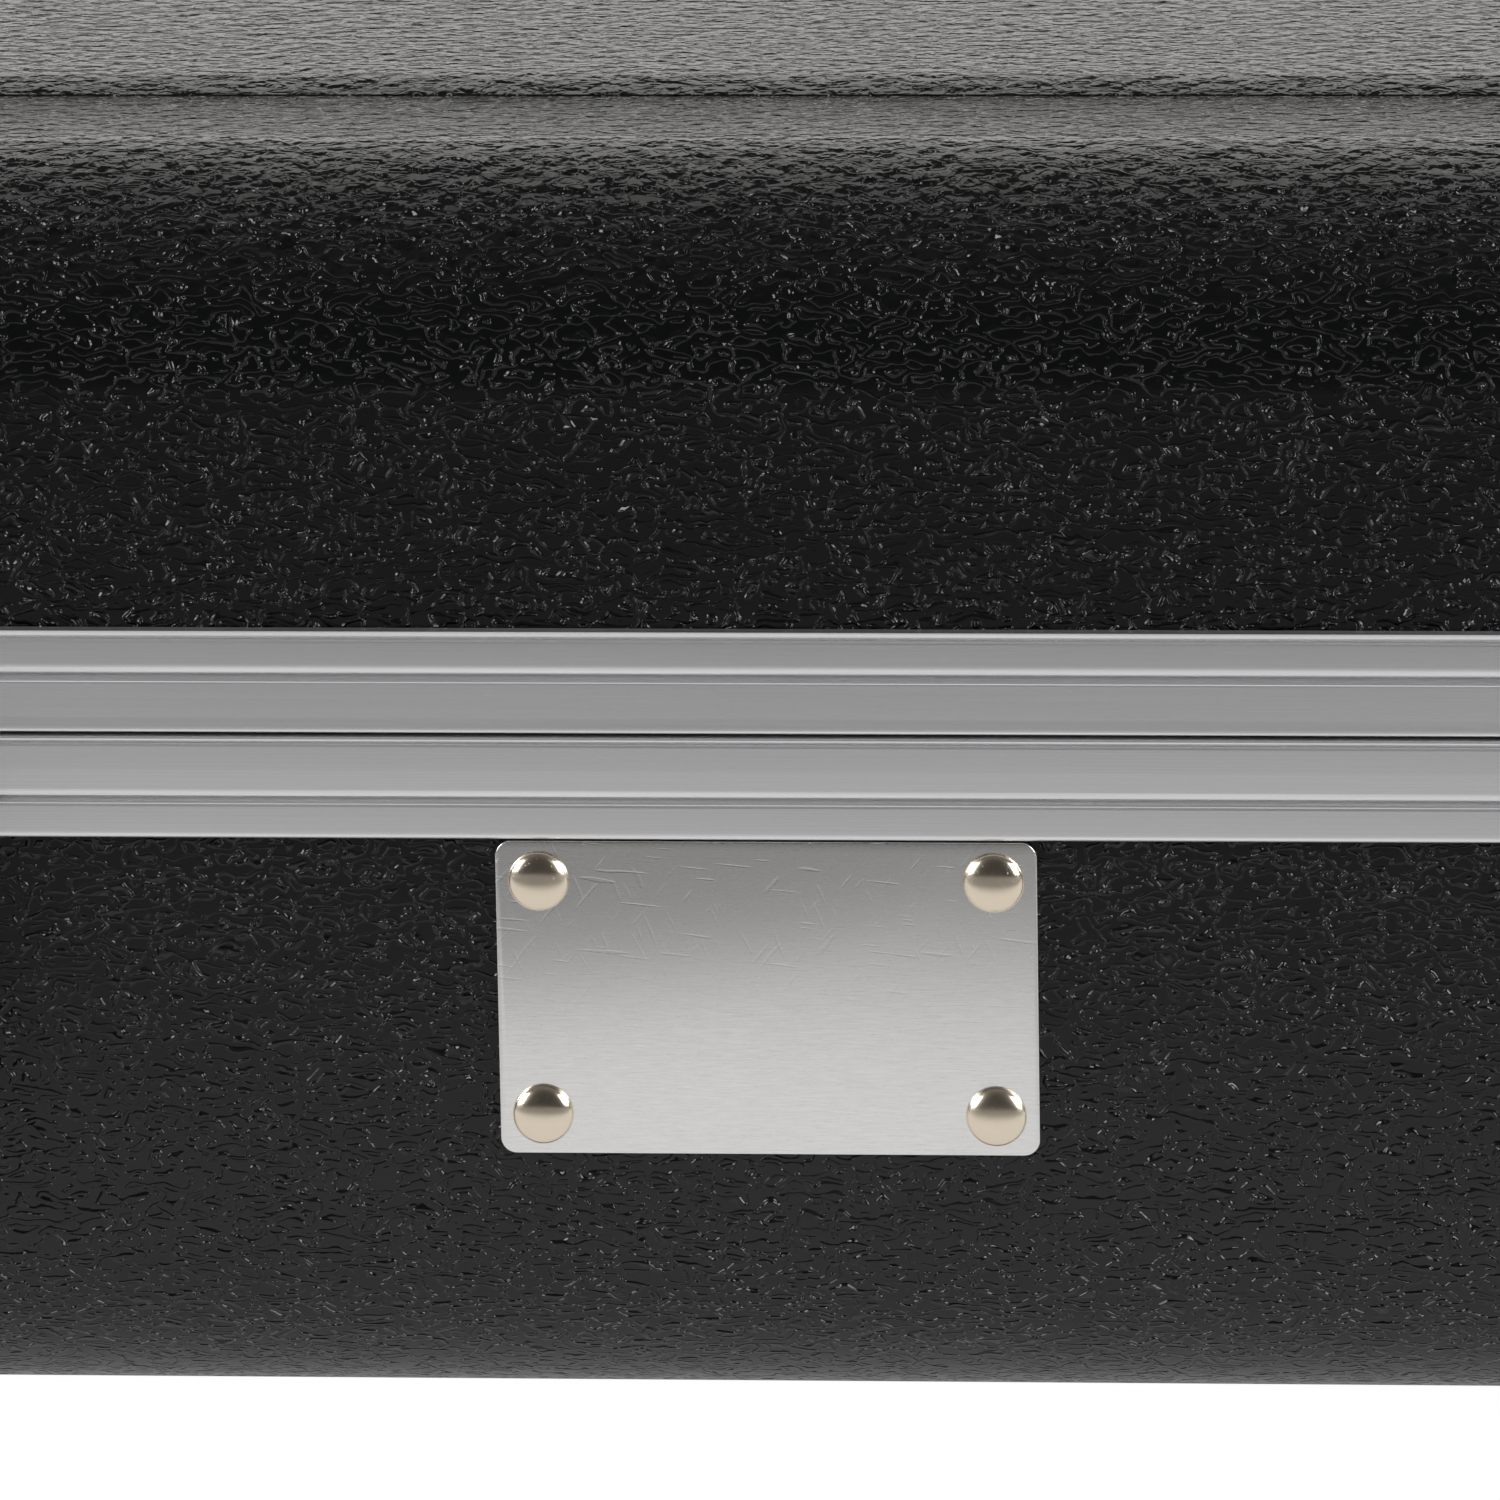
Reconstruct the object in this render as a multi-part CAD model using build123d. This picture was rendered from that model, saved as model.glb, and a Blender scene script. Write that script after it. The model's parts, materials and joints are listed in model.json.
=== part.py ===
"""A rectangular hard case for an electric guitar: two vacuum-formed ABS shells in an aluminium
tongue-and-groove rim, with draw latches, a drop handle, pin hinges and a plush-covered foam lining.

The case lies on its base shell with the lid up. X runs along its length, with the body end at +X.
The latches and handle face -Y and the hinges +Y. Z is up, and the origin is in the middle of the
face that the case rests on. Sizes are millimetres.
"""

import math
import os

from build123d import *

# Overall plan, measured over the aluminium rim
case_length = 1060.0
case_width = 380.0
rim_corner_r = 62.0

# Heights: the seam above the resting face, and the lid above the seam
seam_z = 83.0
lid_depth = 65.5
panel_step = 3.0

# Shells, moulded with a straight strip at the mouth, drafted walls and a raised panel
shell_wall = 2.5
shell_draft = 3.0
shell_edge_r = 24.0
shell_strip = 12.0
panel_margin = 56.0
panel_corner_r = 34.0
panel_slope = 40.0

# Aluminium rim section, as thicknesses and reaches from its outer face and from the seam
seam_gap = 0.4
rim_height = 11.6
rim_skin = 1.6
rim_web = 1.8
rim_leg = 1.2
rim_leg_reach = 9.0
rim_fit = 0.1
rim_edge_break = 0.3
groove_setback = 1.7
groove_width = 3.2
groove_depth = 4.0
groove_wall = 1.2
tongue_thick = 1.2
tongue_reach = 3.2
lid_reed_at, base_reed_at = 6.2, 7.0
reed_width = 0.7
reed_depth = 0.6

# Lining
lining_fit = 0.3
floor_pad_top = 30.0
cushion_below_seam = 11.5
cushion_joint_gap = 0.5
lid_pad_thick = 40.0

# Pocket for the guitar
lower_bout_x, lower_bout_r = 332.0, 164.0
upper_bout_x, upper_bout_r = 136.0, 150.0
waist_round = 45.0
neck_half_width = 42.0
head_start_x = -300.0
head_half_width = 92.0
head_length = 190.0
head_round = 30.0
tail_joint_x = 318.0
neck_joint_x = -4.0
cradle_x, cradle_length = -262.0, 60.0
cradle_top = 60.0
cradle_seat_r = 38.0
cradle_seat_depth = 12.0

# Accessory compartment
box_wall = 8.0
box_floor = 4.0
box_corner_r = 8.0

# Hinges
hinge_xs = (-400.0, -135.0, 135.0, 400.0)
hinge_axis_out = 3.6
hinge_pin_r = 1.5
hinge_knuckle_r = 3.1
hinge_knuckles = 3
hinge_length = 48.0
hinge_sheet = 1.2
hinge_drop = 28.0
hinge_pin_overhang = 0.8
knuckle_gap = 0.3
pin_fit = 0.05
seat_gap = 0.05

# Draw latches
latch_xs = (-405.0, -165.0, 165.0, 405.0)
lock_latch = 3
latch_plate_width = 46.0
latch_plate_start, latch_plate_drop = 1.0, 44.0
latch_sheet = 1.2
lever_axis_drop, lever_axis_out = 14.0, 6.6
ear_r = 4.4
trunnion_r = 1.4
trunnion_reach = 0.4
lever_width = 26.0
lever_length = 34.0
lever_eye_r = 3.6
lever_face_gap = 1.6
lever_face_start = 9.5
lever_lip = 2.4
side_gap = 0.35
bail_throw, bail_inset = 6.0, 0.6
bail_wire_r = 1.15
bail_half_width = 9.4
bail_bend_r, bail_foot_r = 3.2, 1.5
bail_end_reach = 3.5
keeper_width = 30.0
keeper_start, keeper_rise = 2.0, 22.5
keeper_ledge_up = 8.5
keeper_ledge_width = 14.0
keeper_ledge_out = 8.6
ledge_gap = 0.3
lock_plug_r = 4.6
lock_drop = 18.0
lock_depth, lock_proud = 3.0, 0.6
key_slot_width, key_slot_length, key_slot_depth = 1.0, 5.0, 1.6

# Handle
handle_x = 0.0
handle_half_span = 64.0
handle_drop, handle_axis_out = 27.0, 8.0
handle_pin_r = 2.4
handle_eye_r, handle_eye_width = 6.0, 11.0
handle_hang = 34.0
handle_bend_r = 13.0
handle_splay = 6.0
handle_arm_out, handle_arm_across = 5.6, 4.6
grip_half_length = 47.0
grip_shoulder = 14.0
grip_out, grip_across = 8.6, 7.6
bracket_width, bracket_height = 32.0, 26.0
bracket_sheet, bracket_cheek = 1.5, 2.0
bracket_cheek_r = 5.5

# Name plate, with nothing on it, and rivets
plate_x = 275.0
plate_width, plate_height, plate_thick = 60.2, 36.0, 0.8
plate_corner_r = 1.9
plate_below_rim = 0.2
plate_rivet_dx, plate_rivet_dz = 50.6, 26.9
plate_rivet_r, plate_rivet_rise = 3.38, 1.5
rivet_shank_r = 1.6
small_rivet_r, small_rivet_rise = 2.6, 1.2
hinge_rivet_dx, hinge_rivet_drop = 15.0, 21.0
latch_rivet_dx, latch_rivet_drop = 18.8, 30.0
keeper_rivet_dx, keeper_rivet_drop = 10.0, 19.2
bracket_rivet_dx = 11.6

# Feet on the hinge side, for standing the case upright
foot_xs = (-300.0, 300.0)
foot_r, foot_top_r, foot_height = 11.0, 9.0, 12.0
foot_drop = 44.0

# Places and sizes that follow from those above
front_y, back_y = -case_width / 2, case_width / 2
rim_near = seam_gap / 2
rim_far = rim_near + rim_height
shell_in = rim_skin + rim_fit
shell_rim = rim_near + rim_web + rim_fit
draft_start = shell_rim + shell_strip
draft_tan = math.tan(math.radians(shell_draft))
base_pan_depth = seam_z - shell_rim
lid_pan_depth = lid_depth - shell_rim
leg_in = shell_in + shell_wall + rim_fit
groove_in = leg_in + rim_leg + groove_setback
tongue_in = groove_in + (groove_width - tongue_thick) / 2
cushion_top = seam_z - cushion_below_seam
hinge_y = back_y + hinge_axis_out
hinge_pitch = hinge_length / hinge_knuckles
lever_face_out = lever_axis_out + lever_face_gap + latch_sheet
lever_tip_drop = lever_axis_drop + lever_length
bail_drop, bail_out = lever_axis_drop + bail_throw, lever_axis_out - bail_inset
bail_bar_up = keeper_ledge_up + ledge_gap + bail_wire_r
ear_x = lever_width / 2 + side_gap + latch_sheet / 2
BASE, LID = -1, 1
FRONT, BACK = -1, 1


def save(name, *shapes):
    """Writes one named piece, or a group of separate solids, to its STEP file."""
    solids = [solid for shape in shapes for solid in shape.solids()]
    whole = Compound(children=solids) if len(solids) > 1 else solids[0]
    export_step(whole, f"parts/{name}.step")
    print(f"{name}: {len(solids)} solids, {whole.volume / 1000:.1f} cm3")


def block(x0, x1, y0, y1, z0, z1):
    """A block between two corners."""
    return Pos((x0 + x1) / 2, (y0 + y1) / 2, (z0 + z1) / 2) * Box(x1 - x0, y1 - y0, z1 - z0)


def skin_out(away):
    """Where the shell's skin lies, out from the rim's face, at a distance away from the seam."""
    return -shell_in - max(0.0, away - draft_start) * draft_tan


def side_face(points, x, side, half):
    """A face across X from points of distance out from the rim and distance away from the seam."""
    edge = side * case_width / 2
    return make_face(Polyline(*[(x, edge + side * o, seam_z + half * a) for o, a in points], close=True))


def side_form(points, width, x, side, half):
    """The side view of a sheet or bracket, given its width along X and centred on x."""
    return extrude(side_face(points, x - width / 2, side, half), amount=width, dir=(1, 0, 0))


def rod(radius, length, x, out, away, side, half):
    """A rod along X, centred on x, at a distance out from the rim and away from the seam."""
    place = Pos(x, side * (case_width / 2 + out), seam_z + half * away)
    return place * (Rot(0, 90, 0) * Cylinder(radius, length))


def on_wall(x, away, side, half):
    """A plane on the shell's wall, with its Z straight out of the wall and its X along the case."""
    tilt = math.radians(shell_draft) if away > draft_start else 0.0
    spot = (x, side * (case_width / 2 + skin_out(away)), seam_z + half * away)
    return Plane(spot, x_dir=(1, 0, 0), z_dir=(0, side * math.cos(tilt), half * math.sin(tilt)))


def dome(radius, rise):
    """The rounded head of a rivet, standing on Z 0."""
    ball_r = (radius**2 + rise**2) / (2 * rise)
    return Pos(0, 0, rise - ball_r) * Sphere(ball_r) & Pos(0, 0, rise) * Cylinder(ball_r, 2 * rise)


def rivet_on_sheet(x, away, thick, side, half):
    """A small rivet head on a sheet of a given thickness that lies on the shell's wall."""
    head = Pos(0, 0, seat_gap + thick) * dome(small_rivet_r, small_rivet_rise)
    return on_wall(x, away, side, half) * head


def clad(start, drop, thick):
    """The side view of a sheet that lies on the rim, steps in past it and follows the wall."""
    knee = rim_far + seat_gap
    low = draft_start + thick
    inner = [(seat_gap, start), (seat_gap, knee), (skin_out(low) + seat_gap, low)]
    inner.append((skin_out(drop) + seat_gap, drop))
    knee_end = low + thick / 2
    outer = [(skin_out(drop) + seat_gap + thick, drop), (skin_out(knee_end) + seat_gap + thick, knee_end)]
    return inner + outer + [(seat_gap + thick, knee + thick / 2), (seat_gap + thick, start)]


def pan(depth, inset):
    """A moulded pan as a filled form, mouth up at Z 0, shrunk all round by inset."""
    length, width = case_length - 2 * (shell_in + inset), case_width - 2 * (shell_in + inset)
    outline = RectangleRounded(length, width, rim_corner_r - shell_in - inset)
    floor = depth - panel_step - inset
    strip = extrude(outline, amount=-shell_strip)
    walls = extrude(Pos(0, 0, -shell_strip) * outline, amount=shell_strip - floor, taper=shell_draft)
    form = strip + walls
    form = fillet(form.edges().group_by(Axis.Z)[0], shell_edge_r - inset)
    slope = math.radians(panel_slope)
    margin = panel_margin + inset * (1 / math.cos(slope) - math.tan(slope))
    foot = RectangleRounded(case_length - 2 * margin, case_width - 2 * margin, panel_corner_r)
    return form + extrude(Pos(0, 0, -floor) * foot, amount=-panel_step, taper=panel_slope)


def base_pan(inset):
    """The base pan in its place, its mouth in the rim."""
    return Pos(0, 0, seam_z - shell_rim) * pan(base_pan_depth, inset)


def lid_pan(inset):
    """The lid pan in its place, mouth down in the rim."""
    return Pos(0, 0, seam_z + shell_rim) * (Rot(180, 0, 0) * pan(lid_pan_depth, inset))


def rim_section(tongue):
    """One half of the rim, as points of distance in from its face and away from the seam."""
    reed_at = lid_reed_at if tongue else base_reed_at
    reed_end = reed_at + reed_width
    face = [(rim_edge_break, rim_near), (0, rim_near + rim_edge_break)]
    face += [(0, reed_at), (reed_depth, reed_at), (reed_depth, reed_end), (0, reed_end)]
    face += [(0, rim_far - rim_edge_break), (rim_edge_break, rim_far), (rim_skin, rim_far)]
    web, leg_end = rim_near + rim_web, rim_near + rim_leg_reach
    channel = [(rim_skin, web), (leg_in, web), (leg_in, leg_end)]
    channel += [(leg_in + rim_leg, leg_end), (leg_in + rim_leg, web)]
    if tongue:
        tip = -rim_near - tongue_reach
        far = tongue_in + tongue_thick
        return face + channel + [(far, web), (far, tip), (tongue_in, tip), (tongue_in, rim_near)]
    floor, far = rim_near + groove_depth, groove_in + groove_width
    walls = [(groove_in - groove_wall, web), (groove_in - groove_wall, floor + groove_wall)]
    walls += [(far + groove_wall, floor + groove_wall), (far + groove_wall, rim_near)]
    walls += [(far, rim_near), (far, floor), (groove_in, floor), (groove_in, rim_near)]
    return face + channel + walls


def rim(tongue):
    """One half of the rim: its section swept round the case, the tongue half on the lid."""
    half = LID if tongue else BASE
    start_x = case_length / 2 - rim_corner_r
    points = [(start_x, front_y + u, seam_z + half * w) for u, w in rim_section(tongue)]
    section = make_face(Polyline(*points, close=True))
    straight, across = case_length / 2, case_width / 2
    path = Pos(0, 0, seam_z) * Wire(RectangleRounded(2 * straight, 2 * across, rim_corner_r).edges())
    return sweep(section, path=path)


def guitar_pocket():
    """The space for the guitar, from its lower bout to its head, standing on the floor pad."""
    body = Pos(lower_bout_x, 0) * Circle(lower_bout_r) + Pos(upper_bout_x, 0) * Circle(upper_bout_r)
    body = extrude(body, amount=cushion_top)
    waist = [e for e in body.edges().filter_by(Axis.Z) if upper_bout_x < e.center().X < lower_bout_x]
    body = fillet(waist, waist_round)
    neck = Pos((head_start_x + upper_bout_x) / 2, 0) * Rectangle(
        upper_bout_x - head_start_x + head_round, 2 * neck_half_width
    )
    head = Pos(head_start_x - head_length / 2, 0) * RectangleRounded(
        head_length, 2 * head_half_width, head_round
    )
    return Pos(0, 0, floor_pad_top) * (body + extrude(neck + head, amount=cushion_top))


def foam_ring():
    """The foam that stands round the guitar, cut from the space inside the base shell."""
    inside = base_pan(shell_wall + lining_fit)
    far_x = case_length / 2
    floor = inside & block(-far_x, far_x, front_y, back_y, 0, floor_pad_top)
    ring = inside & block(-far_x, far_x, front_y, back_y, floor_pad_top + lining_fit, cushion_top)
    return floor, ring - guitar_pocket()


def cushions(ring):
    """The blocks that the foam ring is made of, each with a fine joint to the next."""
    gap, far_x = cushion_joint_gap / 2, case_length / 2
    spans = {
        "tail_cushion": (tail_joint_x + gap, far_x, front_y, back_y),
        "front_waist_cushion": (neck_joint_x + gap, tail_joint_x - gap, front_y, 0),
        "rear_waist_cushion": (neck_joint_x + gap, tail_joint_x - gap, 0, back_y),
        "rear_neck_cushion": (head_start_x + gap, neck_joint_x - gap, 0, back_y),
        "head_cushion": (-far_x, head_start_x - gap, front_y, back_y),
        "accessory_box": (head_start_x + gap, neck_joint_x - gap, front_y, 0),
    }
    return {name: ring & block(*span, 0, seam_z) for name, span in spans.items()}


def neck_cradle():
    """The block under the neck, with its hollowed seat."""
    half_x, half_y = cradle_length / 2, neck_half_width - cushion_joint_gap
    body = block(
        cradle_x - half_x, cradle_x + half_x, -half_y, half_y, floor_pad_top + lining_fit, cradle_top
    )
    seat_z = cradle_top - cradle_seat_depth + cradle_seat_r
    return body - Pos(cradle_x, 0, seat_z) * (Rot(0, 90, 0) * Cylinder(cradle_seat_r, 2 * cradle_length))


def hollow_out(solid_box):
    """The accessory compartment beside the neck, hollowed from its block of the ring."""
    x0, x1 = head_start_x + box_wall, neck_joint_x - box_wall
    y0 = front_y - skin_out(seam_z - floor_pad_top) + shell_edge_r
    hollow = block(x0, x1, y0, -neck_half_width - box_wall, floor_pad_top + box_floor, seam_z)
    return solid_box - fillet(hollow.edges().filter_by(Axis.Z), box_corner_r)


def lid_pad():
    """The foam pad in the lid, cut from the space inside the lid shell."""
    top, far_x = seam_z + lid_depth, case_length / 2
    inside = lid_pan(shell_wall + lining_fit)
    return inside & block(-far_x, far_x, front_y, back_y, top - lid_pad_thick, top)


def hinge_leaf(x, half):
    """One leaf of a hinge with its rolled knuckles: the outer ones on the base, the middle one on
    the lid."""
    leaf = side_form(clad(knuckle_gap, hinge_drop, hinge_sheet), hinge_length, x, BACK, half)
    room = hinge_knuckle_r + knuckle_gap
    for i in range(hinge_knuckles):
        knuckle_x = x + (i - (hinge_knuckles - 1) / 2) * hinge_pitch
        if (i % 2 == 0) == (half == BASE):
            width = hinge_pitch - knuckle_gap
            leaf += rod(hinge_knuckle_r, width, knuckle_x, hinge_axis_out, 0, BACK, half)
        else:
            width = hinge_pitch + knuckle_gap
            leaf -= Pos(knuckle_x, hinge_y, seam_z) * Box(width, 2 * (hinge_axis_out + rim_skin), 2 * room)
    return leaf - rod(hinge_pin_r + pin_fit, hinge_length + 1, x, hinge_axis_out, 0, BACK, half)


def hinge_pin(x):
    """The pin of a hinge, a little longer than its knuckles."""
    return rod(hinge_pin_r, hinge_length + 2 * hinge_pin_overhang, x, hinge_axis_out, 0, BACK, BASE)


def latch_plate(x):
    """The base plate of a latch, with its two ears and the short trunnions that carry the lever."""
    outline = clad(latch_plate_start, latch_plate_drop, latch_sheet)
    plate = side_form(outline, latch_plate_width, x, FRONT, BASE)
    root = skin_out(draft_start) + latch_sheet / 2
    top, foot = lever_axis_drop - ear_r, lever_axis_drop + ear_r
    outline = [(latch_sheet / 2, top), (lever_axis_out, top), (lever_axis_out, foot), (root, foot)]
    outline += [(root, draft_start + latch_sheet), (latch_sheet / 2, rim_far)]
    for side in (-1, 1):
        ear = side_form(outline, latch_sheet, x + side * ear_x, FRONT, BASE)
        ear += rod(ear_r, latch_sheet, x + side * ear_x, lever_axis_out, lever_axis_drop, FRONT, BASE)
        length = 2 * latch_sheet + side_gap + trunnion_reach
        trunnion_x = ear_x + latch_sheet / 2 - length / 2
        pin = rod(trunnion_r, length, x + side * trunnion_x, lever_axis_out, lever_axis_drop, FRONT, BASE)
        plate += ear + pin
    return plate


def latch_lever(x, with_lock):
    """The stamped lever of a latch: a face with a turned-out lip between two cheeks."""
    inner, outer = lever_face_out - latch_sheet, lever_face_out
    start, tip = lever_axis_drop + lever_face_start, lever_tip_drop
    face = [(outer, start), (inner, start), (inner, tip - lever_lip), (inner + lever_lip, tip)]
    face += [(outer + lever_lip, tip - latch_sheet / 2), (outer, tip - lever_lip - latch_sheet / 2)]
    lever = side_form(face, lever_width, x, FRONT, BASE)
    axis = (lever_axis_out, lever_axis_drop)
    cheek = [(lever_axis_out - lever_eye_r, lever_axis_drop), (outer, lever_axis_drop)]
    cheek += [(outer, tip - lever_lip - latch_sheet), (inner, tip - lever_lip - latch_sheet)]
    cheek += [(lever_axis_out - lever_eye_r, bail_drop + trunnion_r)]
    for side in (-1, 1):
        cheek_x = x + side * (lever_width - latch_sheet) / 2
        plate = side_form(cheek, latch_sheet, cheek_x, FRONT, BASE)
        plate += rod(lever_eye_r, latch_sheet, cheek_x, *axis, FRONT, BASE)
        lever += plate
    lever -= rod(trunnion_r + pin_fit, lever_width + 1, x, *axis, FRONT, BASE)
    lever -= rod(bail_wire_r + pin_fit, lever_width + 1, x, bail_out, bail_drop, FRONT, BASE)
    if with_lock:
        lever -= lock_place(x) * Cylinder(lock_plug_r + pin_fit, 4 * latch_sheet)
    return lever


def lock_place(x):
    """The lock's place on a lever's face, with Z out of the face."""
    spot = (x, front_y - lever_face_out, seam_z - lever_axis_drop - lock_drop)
    return Plane(spot, x_dir=(1, 0, 0), z_dir=(0, -1, 0))


def lock_plug(x):
    """The turning plug of the lock, with its key slot."""
    length = lock_depth + lock_proud
    plug = Pos(0, 0, lock_proud - length / 2) * Cylinder(lock_plug_r, length)
    slot = Pos(0, 0, lock_proud) * Box(key_slot_width, key_slot_length, 2 * key_slot_depth)
    return lock_place(x) * (plug - slot)


def latch_bail(x):
    """The wire bail of a latch, from its turned-out ends in the lever over the keeper's ledge."""
    y, low, high = front_y - bail_out, seam_z - bail_drop, seam_z + bail_bar_up
    arm, end = bail_half_width, bail_half_width + bail_end_reach
    corners = [(-end, low), (-arm, low), (-arm, high), (arm, high), (arm, low), (end, low)]
    radii = [bail_foot_r, bail_bend_r, bail_bend_r, bail_foot_r]
    path = FilletPolyline(*[(x + dx, y, z) for dx, z in corners], radius=radii)
    return sweep(Plane(path @ 0, z_dir=path % 0) * Circle(bail_wire_r), path=path)


def latch_keeper(x):
    """The keeper on the lid, with the ledge that the bail pulls on."""
    sheet = side_form(clad(keeper_start, keeper_rise, latch_sheet), keeper_width, x, FRONT, LID)
    root = latch_sheet / 2
    low, high = keeper_ledge_up - latch_sheet, keeper_ledge_up
    ledge = [(root, low), (keeper_ledge_out, low), (keeper_ledge_out, high), (root, high)]
    return sheet + side_form(ledge, keeper_ledge_width, x, FRONT, LID)


def handle_rod(radius, length, x):
    """A rod on the handle's axis, centred on x."""
    return rod(radius, length, x, handle_axis_out, handle_drop, FRONT, BASE)


def handle_bracket(x):
    """A stamped bracket on the wall, with two cheeks round an eye of the handle."""
    half_height = bracket_height / 2
    rise = seat_gap + bracket_sheet
    low, high = handle_drop - half_height, handle_drop + half_height
    sheet = [(skin_out(low) + seat_gap, low), (skin_out(high) + seat_gap, high)]
    sheet += [(skin_out(high) + rise, high), (skin_out(low) + rise, low)]
    bracket = side_form(sheet, bracket_width, x, FRONT, BASE)
    root = skin_out(handle_drop) + bracket_sheet / 2
    low, high = handle_drop - bracket_cheek_r, handle_drop + bracket_cheek_r
    outline = [(root, low), (handle_axis_out, low), (handle_axis_out, high), (root, high)]
    for side in (-1, 1):
        cheek_x = x + side * (handle_eye_width / 2 + side_gap + bracket_cheek / 2)
        bracket += side_form(outline, bracket_cheek, cheek_x, FRONT, BASE)
        bracket += handle_rod(bracket_cheek_r, bracket_cheek, cheek_x)
    return bracket - handle_rod(handle_pin_r + pin_fit, bracket_width, x)


def handle_pin(x):
    """The pin through a bracket and an eye of the handle."""
    length = handle_eye_width + 2 * (side_gap + bracket_cheek) + bracket_sheet
    return handle_rod(handle_pin_r, length, x)


def handle():
    """The moulded handle, hanging at rest: two eyes, a bent arm and a swelling grip."""
    y, top = front_y - handle_axis_out, seam_z - handle_drop
    low = top - handle_hang
    outer, inner = handle_half_span, handle_half_span - handle_splay
    corners = [(-outer, y, top), (-inner, y, low), (inner, y, low), (outer, y, top)]
    path = Pos(handle_x, 0, 0) * FilletPolyline(*corners, radius=handle_bend_r)
    start = Plane(path @ 0, x_dir=(0, 1, 0), z_dir=path % 0)
    body = sweep(start * Ellipse(handle_arm_out, handle_arm_across), path=path)
    stations = [(-grip_half_length, handle_arm_out, handle_arm_across)]
    stations += [(-grip_half_length + grip_shoulder, grip_out, grip_across)]
    stations += [(grip_half_length - grip_shoulder, grip_out, grip_across)]
    stations += [(grip_half_length, handle_arm_out, handle_arm_across)]
    rings = []
    for x, out, across in stations:
        place = Plane((handle_x + x, y, low), x_dir=(0, 1, 0), z_dir=(1, 0, 0))
        rings.append(place * Ellipse(out, across))
    body += loft(rings)
    for side in (-1, 1):
        body += handle_rod(handle_eye_r, handle_eye_width, handle_x + side * outer)
    return body - handle_rod(handle_pin_r + pin_fit, 2 * handle_half_span + bracket_width, handle_x)


def name_plate():
    """The bare plate under the rim and its four rivets, whose shanks go through it."""
    middle = rim_far + plate_below_rim + plate_height / 2
    plane = on_wall(plate_x, middle, FRONT, BASE)
    outline = RectangleRounded(plate_width, plate_height, plate_corner_r)
    plate = Pos(0, 0, seat_gap) * extrude(outline, plate_thick)
    shank = Pos(0, 0, seat_gap + plate_thick / 2) * Cylinder(rivet_shank_r, plate_thick)
    rivet = Pos(0, 0, seat_gap + plate_thick) * dome(plate_rivet_r, plate_rivet_rise) + shank
    spots = list(GridLocations(plate_rivet_dx, plate_rivet_dz, 2, 2))
    for spot in spots:
        plate -= spot * Cylinder(rivet_shank_r + pin_fit, 4 * plate_thick)
    return plane * plate, [plane * spot * rivet for spot in spots]


def foot(x, half):
    """A round rubber foot on the hinge side."""
    body = Cone(foot_r, foot_top_r, foot_height)
    return on_wall(x, foot_drop, BACK, half) * (Pos(0, 0, seat_gap + foot_height / 2) * body)


def small_rivets(xs, spread, away, thick, side, half):
    """The rivets of a row of fittings, one to the left and one to the right of each."""
    return [rivet_on_sheet(x + d, away, thick, side, half) for x in xs for d in (-spread, spread)]


def main():
    """Builds every piece and writes it to parts/."""
    os.makedirs("parts", exist_ok=True)
    save("base_shell", base_pan(0) - base_pan(shell_wall))
    save("lid_shell", lid_pan(0) - lid_pan(shell_wall))
    save("base_rim", rim(False))
    save("lid_rim", rim(True))

    floor, ring = foam_ring()
    pieces = cushions(ring)
    pieces["accessory_box"] = hollow_out(pieces["accessory_box"])
    save("floor_pad", floor)
    for name, cushion in pieces.items():
        save(name, cushion)
    save("neck_cradle", neck_cradle())
    save("lid_pad", lid_pad())

    for number, x in enumerate(hinge_xs, 1):
        save(f"hinge_{number}_base_leaf", hinge_leaf(x, BASE))
        save(f"hinge_{number}_lid_leaf", hinge_leaf(x, LID))
    save("hinge_pins", *[hinge_pin(x) for x in hinge_xs])
    for number, x in enumerate(latch_xs, 1):
        save(f"latch_{number}_plate", latch_plate(x))
        save(f"latch_{number}_lever", latch_lever(x, number == lock_latch))
        save(f"latch_{number}_bail", latch_bail(x))
        save(f"latch_{number}_keeper", latch_keeper(x))
    save("lock_plug", lock_plug(latch_xs[lock_latch - 1]))

    ends = (handle_x - handle_half_span, handle_x + handle_half_span)
    save("handle_grip", handle())
    save("handle_bracket_left", handle_bracket(ends[0]))
    save("handle_bracket_right", handle_bracket(ends[1]))
    save("handle_pins", *[handle_pin(x) for x in ends])
    plate, plate_rivets = name_plate()
    save("name_plate", plate)
    save("name_plate_rivets", *plate_rivets)

    hinge_rows = (hinge_xs, hinge_rivet_dx, hinge_rivet_drop, hinge_sheet, BACK)
    save("hinge_base_rivets", *small_rivets(*hinge_rows, BASE))
    save("hinge_lid_rivets", *small_rivets(*hinge_rows, LID))
    latch_row = (latch_xs, latch_rivet_dx, latch_rivet_drop, latch_sheet, FRONT, BASE)
    save("latch_rivets", *small_rivets(*latch_row))
    keeper_row = (latch_xs, keeper_rivet_dx, keeper_rivet_drop, latch_sheet, FRONT, LID)
    save("keeper_rivets", *small_rivets(*keeper_row))
    bracket_row = (ends, bracket_rivet_dx, handle_drop, bracket_sheet, FRONT, BASE)
    save("bracket_rivets", *small_rivets(*bracket_row))
    save("base_feet", *[foot(x, BASE) for x in foot_xs])
    save("lid_feet", *[foot(x, LID) for x in foot_xs])


if __name__ == "__main__":
    main()
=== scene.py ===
"""The dressed electric guitar case: moulded ABS shells in an aluminium rim, with hardware and lining.

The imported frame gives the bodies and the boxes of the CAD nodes. Meshes are drawn in millimetres, in
the frame's axes, and scaled to metres when they are made into objects.
"""

import json
import logging
import math
from dataclasses import dataclass
from enum import Enum
from typing import Protocol

import bmesh
import bpy
from mathutils import Matrix, Vector

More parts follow.
